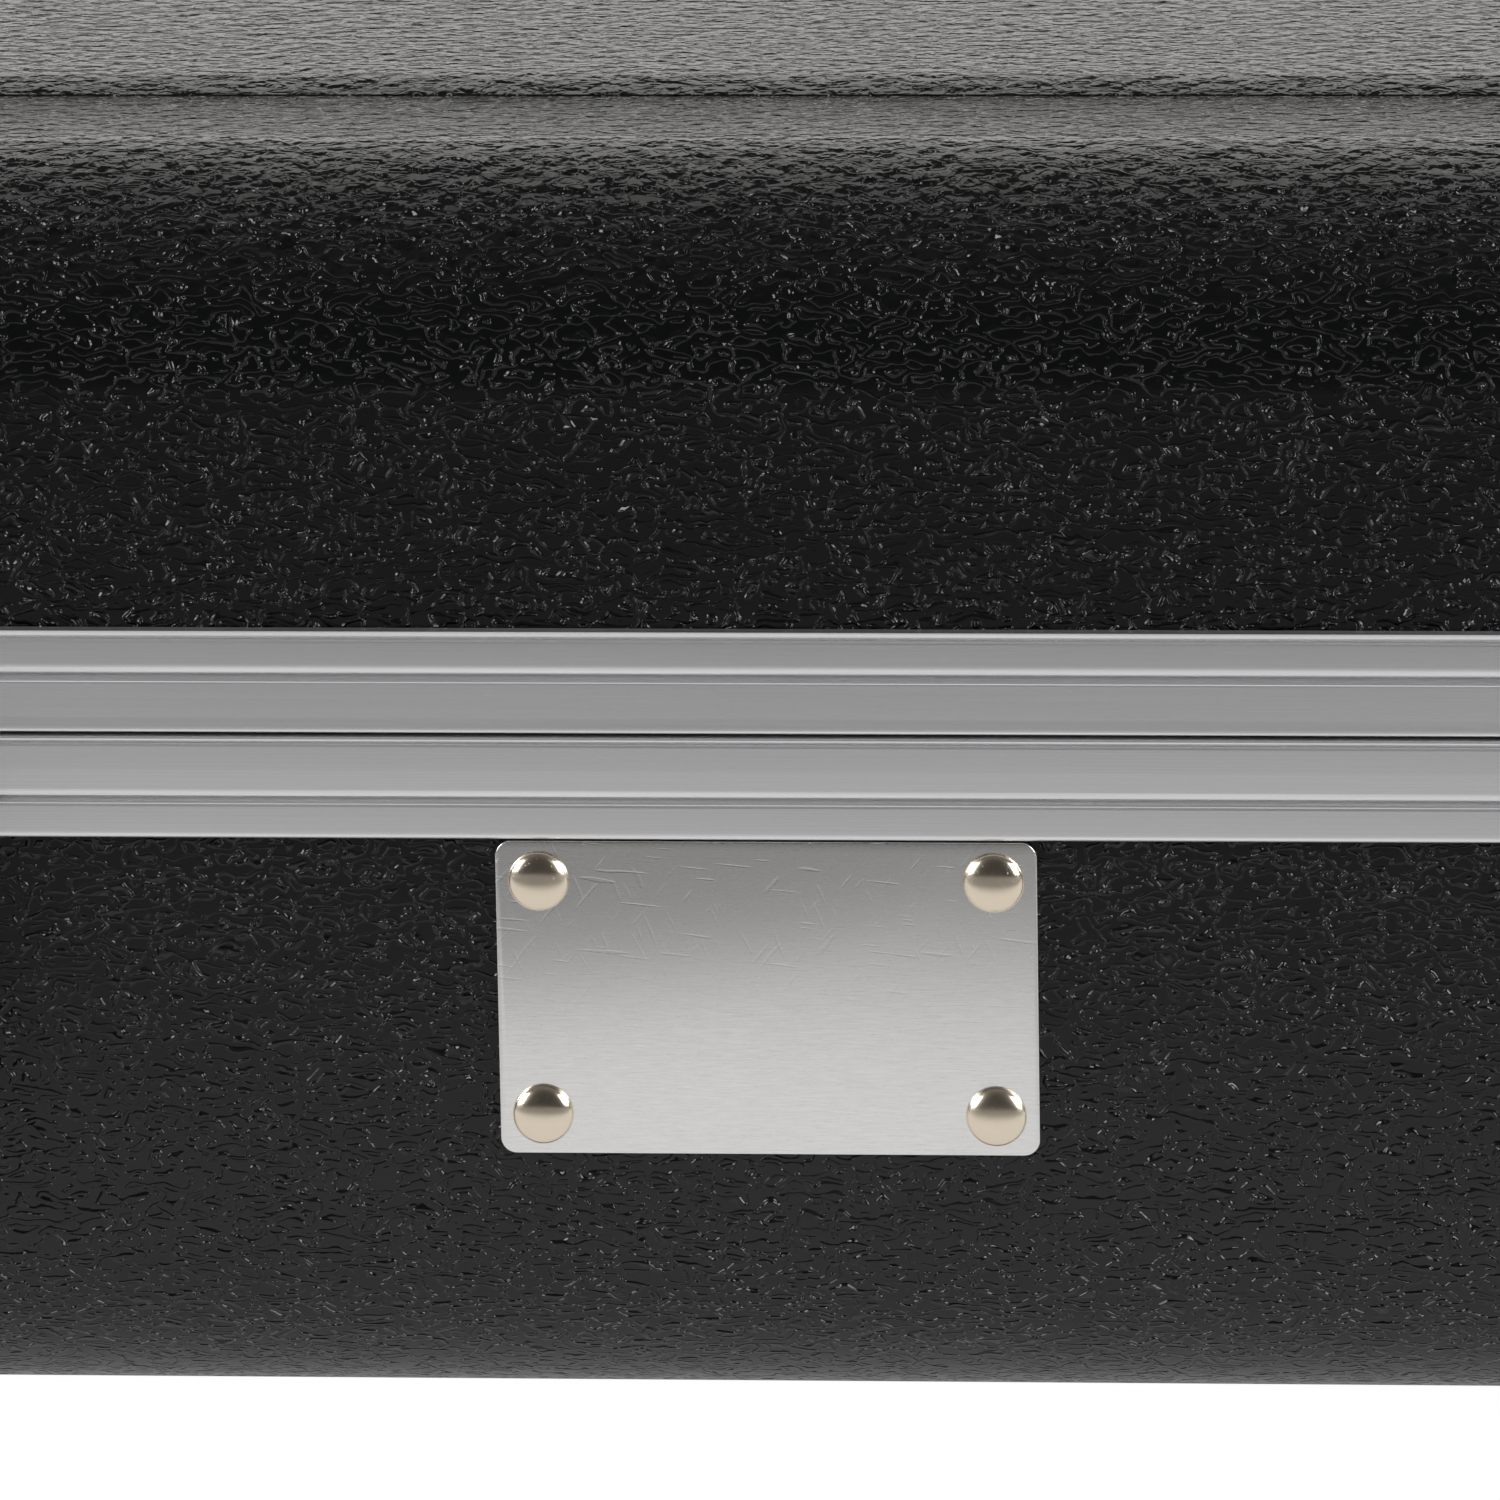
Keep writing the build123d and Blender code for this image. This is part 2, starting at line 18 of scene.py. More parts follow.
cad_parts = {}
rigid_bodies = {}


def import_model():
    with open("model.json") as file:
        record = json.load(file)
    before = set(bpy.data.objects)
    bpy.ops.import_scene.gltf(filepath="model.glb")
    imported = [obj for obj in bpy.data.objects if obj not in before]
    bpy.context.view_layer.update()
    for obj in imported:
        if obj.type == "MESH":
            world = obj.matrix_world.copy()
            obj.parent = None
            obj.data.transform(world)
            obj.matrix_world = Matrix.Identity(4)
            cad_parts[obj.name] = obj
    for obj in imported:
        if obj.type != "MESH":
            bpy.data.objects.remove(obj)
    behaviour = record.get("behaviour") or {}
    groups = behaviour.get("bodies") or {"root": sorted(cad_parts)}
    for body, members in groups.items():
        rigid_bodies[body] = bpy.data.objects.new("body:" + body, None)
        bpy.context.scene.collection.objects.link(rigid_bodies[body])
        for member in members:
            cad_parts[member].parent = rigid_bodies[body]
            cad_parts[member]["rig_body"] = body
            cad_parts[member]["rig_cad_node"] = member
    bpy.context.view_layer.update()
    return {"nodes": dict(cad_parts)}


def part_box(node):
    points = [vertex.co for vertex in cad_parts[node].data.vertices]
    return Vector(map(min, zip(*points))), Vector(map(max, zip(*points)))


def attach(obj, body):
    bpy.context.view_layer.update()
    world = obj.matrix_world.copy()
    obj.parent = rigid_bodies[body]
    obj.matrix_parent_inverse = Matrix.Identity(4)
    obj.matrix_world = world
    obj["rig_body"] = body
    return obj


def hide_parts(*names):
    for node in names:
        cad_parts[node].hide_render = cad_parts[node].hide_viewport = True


Tree = bpy.types.NodeTree
Node = bpy.types.Node
Socket = bpy.types.NodeSocket
Piece = bpy.types.Object
Shape = bmesh.types.BMesh
Triple = tuple[float, float, float]

MM = 0.001
# Vertices closer than this are one vertex, in millimetres for drawn shapes and in metres for CAD ones.
WELD = 0.001
CAD_WELD = 0.00001
# Heights closer than this are the same height, in millimetres.
SAME_HEIGHT = 0.0001
# Most of a noise pattern's values lie between these.
NOISE_LOW = 0.35
NOISE_HIGH = 0.65
log = logging.getLogger("guitar_case")


class Half(Enum):
    """The two halves of the case, by the direction in which they lead away from the seam."""

    BASE = -1
    LID = 1


def linear(colour: str) -> tuple[float, float, float, float]:
    """Turns an sRGB colour into linear light.

    Args:
        colour: A hex colour such as "#D8D8D8".

    Returns:
        Red, green, blue and an alpha of 1.
    """
    shares = [int(colour[i : i + 2], 16) / 255 for i in (1, 3, 5)]
    light = [s / 12.92 if s <= 0.04045 else ((s + 0.055) / 1.055) ** 2.4 for s in shares]
    return (*light, 1.0)


def add_node(tree: Tree, kind: str, inputs: dict | None = None, **settings) -> Node:
    """Adds a node to a shader, with its settings, its values and its links.

    Args:
        tree: The node tree of a material or of the world.
        kind: The node's type, without the words ShaderNode.
        inputs: For each input, a value or the output that feeds it.
        settings: The node's own properties.

    Returns:
        The new node.
    """
    node = tree.nodes.new(f"ShaderNode{kind}")
    for key, value in settings.items():
        setattr(node, key, value)
    for key, value in (inputs or {}).items():
        if isinstance(value, Socket):
            tree.links.new(value, node.inputs[key])
        else:
            node.inputs[key].default_value = value
    return node


def object_coords(tree: Tree, stretch: Triple = (1, 1, 1), turn: float = 0) -> Socket:
    """The piece's own coordinates, turned and then stretched for a pattern.

    Args:
        tree: The material's node tree.
        stretch: How many times as long the pattern is drawn along each axis.
        turn: The pattern's angle about the Y axis, in degrees.

    Returns:
        The output that carries the coordinates.
    """
    place = {"Vector": add_node(tree, "TexCoord").outputs["Object"]}
    place |= {"Scale": stretch, "Rotation": (0, math.radians(turn), 0)}
    return add_node(tree, "Mapping", place, vector_type="TEXTURE").outputs[0]


def mixed_colour(tree: Tree, share: Socket, first: str, second: str) -> Socket:
    """Mixes two colours by a pattern.

    Args:
        tree: The material's node tree.
        share: The pattern, from 0 for the first colour to 1 for the second.
        first: The one colour.
        second: The other.

    Returns:
        The output that carries the colour.
    """
    ends = {0: share, 6: linear(first), 7: linear(second)}
    return add_node(tree, "Mix", ends, data_type="RGBA").outputs[2]


class Finish(Protocol):
    """A surface finish, which dresses the Principled shader of its own material."""

    name: str

    def dress(self, tree: Tree, shader: Node) -> None:
        """Sets the shader and adds the patterns that feed it.

        Args:
            tree: The material's node tree.
            shader: Its Principled shader.
        """


@dataclass(frozen=True)
class MouldedAbs:
    """Black ABS sheet with a hair cell grain: rounded islands at several heights, each with a raised
    line along its edge, which catches the light as a thin closed loop. Its level parts are seen so
    flat that the islands' front edges fill much of the view, and a deeper swell stands for them there.
    """

    name: str = "MouldedAbs"
    colour: str = "#090A0B"
    roughness: float = 0.2
    ior: float = 1.45
    cell: float = 1.55
    stretch: float = 1.8
    detail: float = 0.6
    warp: float = 0.45
    levels: float = 4.6
    edge_share: float = 0.18
    ridge_share: float = 0.26
    ridge: float = 1.0
    step: float = 0.3
    swell: float = 2.2
    swell_detail: float = 1.5
    swell_depth: float = 2.1
    swell_from: float = 0.35
    swell_to: float = 0.9

    def dress(self, tree: Tree, shader: Node) -> None:
        """Sets the plastic, its islands and the swell of its level parts.

        Args:
            tree: The material's node tree.
            shader: Its Principled shader.
        """
        islands = {"Height": self.islands(tree), "Distance": self.step * MM}
        swells = {"Height": self.swells(tree), "Distance": self.swell_depth * MM}
        swells["Normal"] = add_node(tree, "Bump", islands).outputs[0]
        shader.inputs["Base Color"].default_value = linear(self.colour)
        shader.inputs["Roughness"].default_value = self.roughness
        shader.inputs["IOR"].default_value = self.ior
        tree.links.new(add_node(tree, "Bump", swells).outputs[0], shader.inputs["Normal"])

    def islands(self, tree: Tree) -> Socket:
        """Cuts a noise into terraces with a raised line along each edge.

        Args:
            tree: The material's node tree.

        Returns:
            The output that carries the height, where 1 is the height of a terrace.
        """
        cells = {"Vector": object_coords(tree, (self.stretch, 1, 1)), "Scale": 1 / (self.cell * MM)}
        cells |= {"Detail": self.detail, "Distortion": self.warp}
        hills = add_node(tree, "TexNoise", cells).outputs["Fac"]
        levels = add_node(tree, "Math", {0: hills, 1: self.levels}, operation="MULTIPLY").outputs[0]
        floor = add_node(tree, "Math", {0: levels}, operation="FLOOR").outputs[0]
        part = add_node(tree, "Math", {0: levels}, operation="FRACT").outputs[0]
        edge = {"Value": part, "From Min": 0.5 - self.edge_share, "From Max": 0.5 + self.edge_share}
        slope = add_node(tree, "MapRange", edge, interpolation_type="SMOOTHSTEP").outputs[0]
        stair = add_node(tree, "Math", {0: floor, 1: slope}, operation="ADD").outputs[0]
        offset = add_node(tree, "Math", {0: part, 1: 0.5}, operation="SUBTRACT").outputs[0]
        distance = add_node(tree, "Math", {0: offset}, operation="ABSOLUTE").outputs[0]
        line = {"Value": distance, "From Max": self.ridge_share, "To Min": self.ridge, "To Max": 0.0}
        line = add_node(tree, "MapRange", line, interpolation_type="SMOOTHSTEP").outputs[0]
        return add_node(tree, "Math", {0: stair, 1: line}, operation="ADD").outputs[0]

    def swells(self, tree: Tree) -> Socket:
        """A slower noise, which is there only where the shell faces up.

        Args:
            tree: The material's node tree.

        Returns:
            The output that carries the height, from 0 to 1.
        """
        facing = add_node(tree, "NewGeometry").outputs["Normal"]
        upward = add_node(tree, "SeparateXYZ", {"Vector": facing}).outputs["Z"]
        level = {"Value": upward, "From Min": self.swell_from, "From Max": self.swell_to}
        level = add_node(tree, "MapRange", level, interpolation_type="SMOOTHSTEP").outputs[0]
        field = {"Vector": object_coords(tree), "Scale": 1 / (self.swell * MM)}
        field = add_node(tree, "TexNoise", field | {"Detail": self.swell_detail}).outputs["Fac"]
        return add_node(tree, "Math", {0: field, 1: level}, operation="MULTIPLY").outputs[0]


@dataclass(frozen=True)
class ExtrudedAluminium:
    """Aluminium drawn through a die and satin anodised: pale and even, with fine lines lengthwise."""

    name: str = "ExtrudedAluminium"
    colour: str = "#F1F1F2"
    streak: str = "#E6E6E8"
    roughness: float = 0.4
    smoother: float = 0.02
    rougher: float = 0.04
    line: float = 0.16
    line_length: float = 250.0
    line_depth: float = 0.0012

    def dress(self, tree: Tree, shader: Node) -> None:
        """Sets the metal, with its draw lines in colour, roughness and relief.

        Args:
            tree: The material's node tree.
            shader: Its Principled shader.
        """
        along = object_coords(tree, (self.line_length, self.line_length, 1))
        lines = {"Vector": along, "Scale": 1 / (self.line * MM), "Detail": 3.0}
        lines = add_node(tree, "TexNoise", lines).outputs["Fac"]
        share = {"Value": lines, "From Min": NOISE_LOW, "From Max": NOISE_HIGH}
        share = add_node(tree, "MapRange", share).outputs[0]
        rough = {"To Min": self.roughness - self.smoother, "To Max": self.roughness + self.rougher}
        rough = add_node(tree, "MapRange", rough | {"Value": share}).outputs[0]
        relief = add_node(tree, "Bump", {"Height": lines, "Distance": self.line_depth * MM}).outputs[0]
        shader.inputs["Metallic"].default_value = 1.0
        tree.links.new(mixed_colour(tree, share, self.colour, self.streak), shader.inputs["Base Color"])
        tree.links.new(rough, shader.inputs["Roughness"])
        tree.links.new(relief, shader.inputs["Normal"])


@dataclass(frozen=True)
class BrushedPlate:
    """Bare aluminium sheet, brushed along its length, with the bright scratches of long use. The
    scratches thin out downwards and are gone where the plate mirrors the white floor."""

    name: str = "BrushedPlate"
    colour: str = "#EBEAE8"
    streak: str = "#E3E2E0"
    roughness: float = 0.25
    spread: float = 0.03
    brush: float = 0.08
    brush_length: float = 33.0
    brush_depth: float = 0.0008
    scratch: float = 0.4
    scratch_length: float = 14.0
    scratch_from: float = 0.75
    scratch_to: float = 0.8
    scratch_depth: float = 0.014
    scratch_turns: tuple[float, ...] = (6.0, -50.0, 68.0)
    worn_from: float = 50.0
    worn_to: float = 72.0

    def dress(self, tree: Tree, shader: Node) -> None:
        """Sets the metal, its brushing and its scratches.

        Args:
            tree: The material's node tree.
            shader: Its Principled shader.
        """
        brush = {"Vector": object_coords(tree, (self.brush_length, 1, 1)), "Detail": 2.0}
        brush = add_node(tree, "TexNoise", brush | {"Scale": 1 / (self.brush * MM)}).outputs["Fac"]
        share = {"Value": brush, "From Min": NOISE_LOW, "From Max": NOISE_HIGH}
        share = add_node(tree, "MapRange", share).outputs[0]
        rough = {"To Min": self.roughness - self.spread, "To Max": self.roughness + self.spread}
        rough = add_node(tree, "MapRange", rough | {"Value": share}).outputs[0]
        brushed = add_node(tree, "Bump", {"Height": brush, "Distance": self.brush_depth * MM}).outputs[0]
        shader.inputs["Metallic"].default_value = 1.0
        tree.links.new(mixed_colour(tree, share, self.colour, self.streak), shader.inputs["Base Color"])
        tree.links.new(rough, shader.inputs["Roughness"])
        tree.links.new(self.scratched(tree, brushed), shader.inputs["Normal"])

    def scratched(self, tree: Tree, normal: Socket) -> Socket:
        """Cuts scratches in several directions, more of them towards the plate's top.

        Args:
            tree: The material's node tree.
            normal: The normal of the brushed surface.

        Returns:
            The output that carries the new normal.
        """
        height = add_node(tree, "SeparateXYZ", {"Vector": object_coords(tree)}).outputs["Z"]
        worn = {"Value": height, "From Min": self.worn_from * MM, "From Max": self.worn_to * MM}
        worn = add_node(tree, "MapRange", worn).outputs[0]
        for turn in self.scratch_turns:
            field = {"Vector": object_coords(tree, (self.scratch_length, 1, 1), turn), "Detail": 0.0}
            marks = add_node(tree, "TexNoise", field | {"Scale": 1 / (self.scratch * MM)}).outputs["Fac"]
            cut = {"Value": marks, "From Min": self.scratch_from, "From Max": self.scratch_to}
            cut = add_node(tree, "MapRange", cut | {"To Min": 0.0, "To Max": -1.0}).outputs[0]
            cut = add_node(tree, "Math", {0: cut, 1: worn}, operation="MULTIPLY").outputs[0]
            line = {"Height": cut, "Distance": self.scratch_depth * MM, "Normal": normal}
            normal = add_node(tree, "Bump", line).outputs[0]
        return normal


@dataclass(frozen=True)
class Plated:
    """Plated or polished metal: a bright coat over faint ripples, with small pits and a little haze."""

    name: str
    colour: str
    roughness: float
    haze: float = 0.12
    cloud: float = 9.0
    cloud_from: float = 0.3
    cloud_to: float = 0.75
    ripple: float = 1.6
    ripple_depth: float = 0.006
    pore: float = 0.22
    pit_from: float = 0.72
    pit_to: float = 0.78
    pit_depth: float = 0.01

    def dress(self, tree: Tree, shader: Node) -> None:
        """Sets the coat, its haze, its ripples and its pits.

        Args:
            tree: The material's node tree.
            shader: Its Principled shader.
        """
        coords = object_coords(tree)
        haze = {"Vector": coords, "Scale": 1 / (self.cloud * MM), "Detail": 4.0}
        haze = add_node(tree, "TexNoise", haze).outputs["Fac"]
        rough = {"Value": haze, "From Min": self.cloud_from, "From Max": self.cloud_to}
        rough |= {"To Min": self.roughness, "To Max": self.roughness + self.haze}
        ripples = {"Vector": coords, "Scale": 1 / (self.ripple * MM), "Detail": 1.0}
        wave = {"Height": add_node(tree, "TexNoise", ripples).outputs["Fac"]}
        wave = add_node(tree, "Bump", wave | {"Distance": self.ripple_depth * MM}).outputs[0]
        pores = {"Vector": coords, "Scale": 1 / (self.pore * MM), "Detail": 1.0}
        pits = {"Value": add_node(tree, "TexNoise", pores).outputs["Fac"]}
        pits |= {"From Min": self.pit_from, "From Max": self.pit_to, "To Min": 1, "To Max": 0}
        marks = {"Height": add_node(tree, "MapRange", pits).outputs[0], "Distance": self.pit_depth * MM}
        shader.inputs["Base Color"].default_value = linear(self.colour)
        shader.inputs["Metallic"].default_value = 1.0
        tree.links.new(add_node(tree, "MapRange", rough).outputs[0], shader.inputs["Roughness"])
        tree.links.new(add_node(tree, "Bump", marks | {"Normal": wave}).outputs[0], shader.inputs["Normal"])


@dataclass(frozen=True)
class Grained:
    """Moulded plastic or rubber: an even spark grain, with patches that use has polished or dulled."""

    name: str
    colour: str
    roughness: float
    grain: float
    grain_depth: float
    spread: float = 0.08
    patch: float = 14.0
    patch_from: float = 0.35
    patch_to: float = 0.7

    def dress(self, tree: Tree, shader: Node) -> None:
        """Sets the plastic, its grain and its uneven gloss.

        Args:
            tree: The material's node tree.
            shader: Its Principled shader.
        """
        coords = object_coords(tree)
        grain = add_node(tree, "TexVoronoi", {"Vector": coords, "Scale": 1 / (self.grain * MM)})
        wear = {"Vector": coords, "Scale": 1 / (self.patch * MM), "Detail": 5.0}
        rough = {"Value": add_node(tree, "TexNoise", wear).outputs["Fac"]}
        rough |= {"From Min": self.patch_from, "From Max": self.patch_to}
        rough |= {"To Min": self.roughness - self.spread, "To Max": self.roughness + self.spread}
        bump = {"Height": grain.outputs["Distance"], "Distance": self.grain_depth * MM}
        shader.inputs["Base Color"].default_value = linear(self.colour)
        tree.links.new(add_node(tree, "MapRange", rough).outputs[0], shader.inputs["Roughness"])
        tree.links.new(add_node(tree, "Bump", bump).outputs[0], shader.inputs["Normal"])


@dataclass(frozen=True)
class Plush:
    """Short plush over foam: a soft pile that lies in patches and goes pale at grazing light. The
    pile is drawn coarser than the real one, which is too fine to show."""

    name: str = "Plush"
    colour: str = "#1B1B20"
    pale: str = "#33333B"
    roughness: float = 0.9
    sheen: float = 0.35
    sheen_roughness: float = 0.35
    pile: float = 1.1
    pile_depth: float = 0.5
    patch: float = 38.0

    def dress(self, tree: Tree, shader: Node) -> None:
        """Sets the cloth, its pile, and the patches where the pile lies over.

        Args:
            tree: The material's node tree.
            shader: Its Principled shader.
        """
        coords = object_coords(tree)
        pile = {"Vector": coords, "Scale": 1 / (self.pile * MM), "Detail": 3.0}
        pile = {"Height": add_node(tree, "TexNoise", pile).outputs["Fac"], "Distance": self.pile_depth * MM}
        patches = {"Vector": coords, "Scale": 1 / (self.patch * MM), "Detail": 3.0, "Distortion": 1.0}
        patches = add_node(tree, "TexNoise", patches).outputs["Fac"]
        share = {"Value": patches, "From Min": NOISE_LOW, "From Max": NOISE_HIGH}
        share = add_node(tree, "MapRange", share).outputs[0]
        tree.links.new(mixed_colour(tree, share, self.colour, self.pale), shader.inputs["Base Color"])
        shader.inputs["Roughness"].default_value = self.roughness
        shader.inputs["Sheen Weight"].default_value = self.sheen
        shader.inputs["Sheen Roughness"].default_value = self.sheen_roughness
        tree.links.new(add_node(tree, "Bump", pile).outputs[0], shader.inputs["Normal"])


# Warm, bright domes, which mirror the white floor below and the dark room above.
RIVET_NICKEL = Plated("nickel_rivet", "#EADCC8", 0.15)
# Cool grey sheet, whose bends show as bright lines.
STAMPED_NICKEL = Plated("nickel_plated_steel", "#CBC9C6", 0.14)
# Wire a little warmer and duller than the sheet it stands on.
WIRE_NICKEL = Plated("nickel_plated_wire", "#C6C4C0", 0.16)
# Darker, softer shine at the ends of the pins.
PIN_STEEL = Plated("turned_steel", "#A9A8A6", 0.24)
# The one yellow spot on the front, in the latch that locks.
LOCK_BRASS = Plated("lacquered_brass", "#B8944F", 0.2)
# Satin black, smoother than the shell behind it.
HANDLE_PLASTIC = Grained("moulded_handle_plastic", "#121214", 0.42, 0.6, 0.03)
# Matt black without highlights.
FOOT_RUBBER = Grained("foot_rubber", "#0F0F10", 0.62, 0.9, 0.03)


def material(finish: Finish) -> bpy.types.Material:
    """The material of a finish, made once and then shared.

    Args:
        finish: One of the finishes above.

    Returns:
        The material, named for the finish.
    """
    if finish.name in bpy.data.materials:
        return bpy.data.materials[finish.name]
    made = bpy.data.materials.new(finish.name)
    made.use_nodes = True
    finish.dress(made.node_tree, made.node_tree.nodes["Principled BSDF"])
    return made


def dress_piece(piece: Piece, finish: Finish) -> None:
    """Gives a piece, new or from the CAD model, one finish all over."""
    piece.data.materials.clear()
    piece.data.materials.append(material(finish))


def new_piece(
    name: str,
    bm: Shape,
    body: str,
    finish: Finish,
    replaces: tuple[str, ...] = (),
    crease: float = 32.0,
) -> Piece:
    """Makes a finished bmesh in millimetres into a piece that rides on a body.

    Args:
        name: The piece's name.
        bm: The shape, which is used up.
        body: The body that carries it.
        finish: Its surface.
        replaces: The CAD nodes that it stands for.
        crease: The angle between faces, in degrees, past which an edge stays sharp.

    Returns:
        The piece.
    """
    bmesh.ops.scale(bm, vec=(MM, MM, MM), verts=bm.verts)
    mesh = bpy.data.meshes.new(name)
    bm.to_mesh(mesh)
    bm.free()
    mesh.shade_smooth()
    mesh.set_sharp_from_angle(angle=math.radians(crease))
    piece = bpy.data.objects.new(name, mesh)
    bpy.context.scene.collection.objects.link(piece)
    dress_piece(piece, finish)
    if replaces:
        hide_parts(*replaces)
    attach(piece, body)
    return piece


def arc_steps(radius: float, start: float, end: float, count: int) -> list[tuple[float, float]]:
    """The steps along an arc whose slope goes from one angle to another.

    Args:
        radius: The arc's radius.
        start: The slope at its start, in degrees from level.
        end: The slope at its end.
        count: How many steps.

    Returns:
        For each step, how far it goes across and how far up.
    """
    slopes = [math.radians(start + (end - start) * i / count) for i in range(count + 1)]
    return [
        (radius * abs(math.sin(b) - math.sin(a)), radius * abs(math.cos(a) - math.cos(b)))
        for a, b in zip(slopes, slopes[1:])
    ]


def rounded_sheet(
    bm: Shape, length: float, width: float, radius: float, z: float, segments: int
) -> bmesh.types.BMFace:
    """Adds one level face with rounded corners, centred on the Z axis and higher than all others.

    Args:
        bm: The mesh it joins.
        length: Its size along X.
        width: Its size along Y.
        radius: The corner radius.
        z: Its height.
        segments: The number of edges in each corner.

    Returns:
        The face.
    """
    verts = bmesh.ops.create_grid(bm, x_segments=1, y_segments=1, size=0.5)["verts"]
    bmesh.ops.scale(bm, vec=(length, width, 1), verts=verts)
    bmesh.ops.translate(bm, vec=(0, 0, z), verts=verts)
    bmesh.ops.bevel(
        bm, geom=verts, offset=radius, offset_type="OFFSET", segments=segments,
        profile=0.5, affect="VERTICES", material=-1,
    )
    return max(bm.faces, key=lambda face: face.calc_center_median().z)


def drawn_up(bm: Shape, face: bmesh.types.BMFace, rise: float) -> bmesh.types.BMFace:
    """Draws a level face up into a block.

    Args:
        bm: The mesh.
        face: The face.
        rise: The block's height.

    Returns:
        The block's top.
    """
    grown = bmesh.ops.extrude_face_region(bm, geom=[face])["geom"]
    top = next(part for part in grown if isinstance(part, bmesh.types.BMFace))
    bmesh.ops.translate(bm, vec=(0, 0, rise), verts=top.verts)
    return top


def shade_flats(piece: Piece) -> None:
    """Keeps flat bands evenly shaded beside narrow roundings."""
    even = piece.modifiers.new("flats", "WEIGHTED_NORMAL")
    even.keep_sharp = True


@dataclass
class Shell:
    """A vacuum-formed shell with a straight mouth, drafted walls and a raised panel."""

    half: Half
    panel_step: float = 3.0
    panel_slope: float = 20.0
    panel_round: float = 23.0
    panel_round_steps: int = 6
    panel_lip: float = 0.16
    crown_slope: float = 1.0
    crown_run: float = 75.0
    crown_corner_r: float = 6.0
    strip: float = 12.0
    draft: float = 3.0
    edge_r: float = 26.0
    edge_steps: int = 14
    wall: float = 2.5
    corner_r: float = 60.3
    panel_margin: float = 56.3
    panel_corner_r: float = 34.0
    segments: int = 20

    @property
    def node(self) -> str:
        """The name of the CAD node that the shell stands for."""
        return f"{self.half.name.lower()}_shell"

    def steps(self, floor: float) -> list[tuple[float, float]]:
        """The steps in and up from the mouth's strip to the flat floor round the panel.

        Args:
            floor: The height of that floor.

        Returns:
            For each step, how far it goes in and how far up.
        """
        edge = arc_steps(self.edge_r, 90 - self.draft, 0, self.edge_steps)
        straight = floor - self.strip - sum(rise for _, rise in edge)
        lean = math.tan(math.radians(self.draft))
        return [(straight * lean, straight), *edge]

    def panel_steps(self) -> list[tuple[float, float]]:
        """The steps in and up from the crisp lip at the panel's foot to the edge of its crown."""
        rounding = arc_steps(self.panel_round, self.panel_slope, self.crown_slope, self.panel_round_steps)
        return [(self.panel_lip / 2, self.panel_lip), *rounding]

    def add_panel(
        self, bm: Shape, outer: list[bmesh.types.BMEdge], length: float, width: float, floor: float
    ) -> None:
        """Adds the panel, with rounded edges and a slight crown.

        Args:
            bm: The shell's mesh.
            outer: The edges where the wall ends.
            length: The shell's length.
            width: The shell's width.
            floor: The height of the flat floor round the panel.
        """
        margin = 2 * self.panel_margin
        run_x, run_y = length - margin, width - margin
        panel = rounded_sheet(bm, run_x, run_y, self.panel_corner_r, floor, self.segments)
        bmesh.ops.bridge_loops(bm, edges=outer + panel.edges[:])
        steps = self.panel_steps()
        for run, rise in steps:
            bmesh.ops.inset_region(bm, faces=[panel], thickness=run, depth=rise, use_even_offset=True)
        edge = panel.edges[:]
        bmesh.ops.delete(bm, geom=[panel], context="FACES_ONLY")
        margin += 2 * (sum(run for run, _ in steps) + self.crown_run)
        top = floor + self.panel_step
        crown = rounded_sheet(bm, length - margin, width - margin, self.crown_corner_r, top, self.segments)
        bmesh.ops.bridge_loops(bm, edges=edge + crown.edges[:])

    def build(self) -> Piece:
        """Models the shell mouth down, turns it over for the base and gives it its wall.

        Returns:
            The shell.
        """
        low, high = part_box(self.node)
        length, width, depth = ((high - low) / MM)[:]
        floor = depth - self.panel_step
        bm = bmesh.new()
        mouth = rounded_sheet(bm, length, width, self.corner_r, 0, self.segments)
        top = drawn_up(bm, mouth, self.strip)
        for run, rise in self.steps(floor):
            bmesh.ops.inset_region(bm, faces=[top], thickness=run, depth=rise, use_even_offset=True)
        outer = top.edges[:]
        bmesh.ops.delete(bm, geom=[top], context="FACES_ONLY")
        self.add_panel(bm, outer, length, width, floor)
        closing = [f for f in bm.faces if all(abs(v.co.z) < SAME_HEIGHT for v in f.verts)]
        bmesh.ops.delete(bm, geom=closing, context="FACES_ONLY")
        bmesh.ops.recalc_face_normals(bm, faces=bm.faces)
        if self.half is Half.BASE:
            bmesh.ops.scale(bm, vec=(1, 1, -1), verts=bm.verts)
            bmesh.ops.reverse_faces(bm, faces=bm.faces)
        mouth_z = (low.z if self.half is Half.LID else high.z) / MM
        bmesh.ops.translate(bm, vec=(0, 0, mouth_z), verts=bm.verts)
        body = self.half.name.lower()
        shell = new_piece(f"{self.node}_moulding", bm, body, MouldedAbs(), (self.node,))
        sheet = shell.modifiers.new("wall", "SOLIDIFY")
        sheet.thickness = self.wall * MM
        sheet.offset = -1
        sheet.use_even_offset = True
        shade_flats(shell)
        return shell


